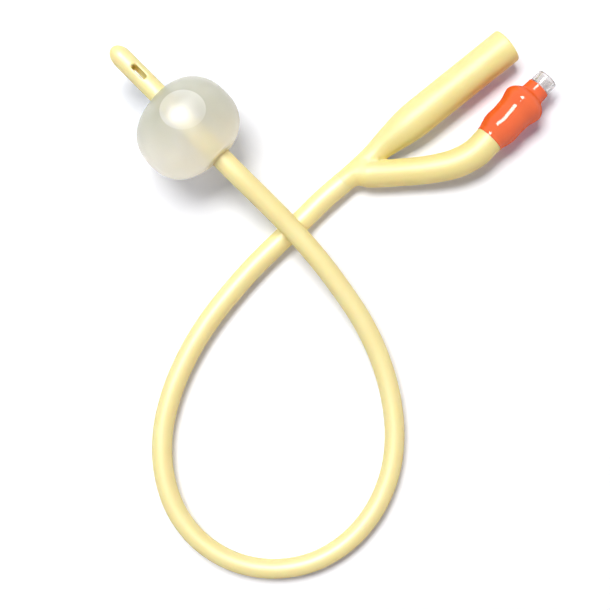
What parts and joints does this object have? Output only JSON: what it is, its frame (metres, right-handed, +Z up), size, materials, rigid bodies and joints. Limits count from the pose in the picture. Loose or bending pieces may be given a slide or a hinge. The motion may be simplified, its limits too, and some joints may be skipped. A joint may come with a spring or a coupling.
{
  "type": "foley urinary catheter",
  "caption": "Foley urinary catheter in yellow latex, lying in a loose loop, with an inflated balloon behind its round tip, a drainage funnel and a side arm with a sprung filling valve.",
  "frame": {"origin": "on the table, below the middle of the box round all pieces but the free shaft", "axes": "+Z up from the table, +Y along the drainage funnel and out of its mouth, +X to the side on which the filling valve lies"},
  "size_m": [0.1501, 0.1612, 0.0289],
  "materials": {
    "shaft_latex": "smooth pale yellow latex with a soft gloss",
    "tip_latex": "smooth pale yellow latex with a soft gloss",
    "balloon_film": "stretched translucent latex film, glossy",
    "moulding_latex": "smooth moulded pale yellow latex",
    "orange_sleeve": "shrunk glossy orange skin",
    "clear_plastic": "clear moulded plastic",
    "white_plastic": "natural white moulded plastic",
    "seal_rubber": "dark rubber",
    "spring_steel": "bright spring wire"
  },
  "bodies": {
    "catheter": {"catheter_shaft": "shaft_latex", "tip_section": "tip_latex", "retention_balloon": "balloon_film", "y_funnel": "moulding_latex", "color_sleeve": "orange_sleeve", "valve_base": "white_plastic", "valve_housing": "clear_plastic", "valve_spring": "spring_steel"},
    "plunger": {"valve_plunger": "white_plastic", "plunger_seal": "seal_rubber"}
  },
  "joints": [
    {"name": "plunger_slide", "type": "slide", "parent": "catheter", "child": "plunger", "axis": [0.1295, -0.9916, 0], "range_m": [0, 0.0015], "stiffness_N_per_m": 250, "springref_m": -0.001, "deforming": ["valve_spring"]}
  ]
}
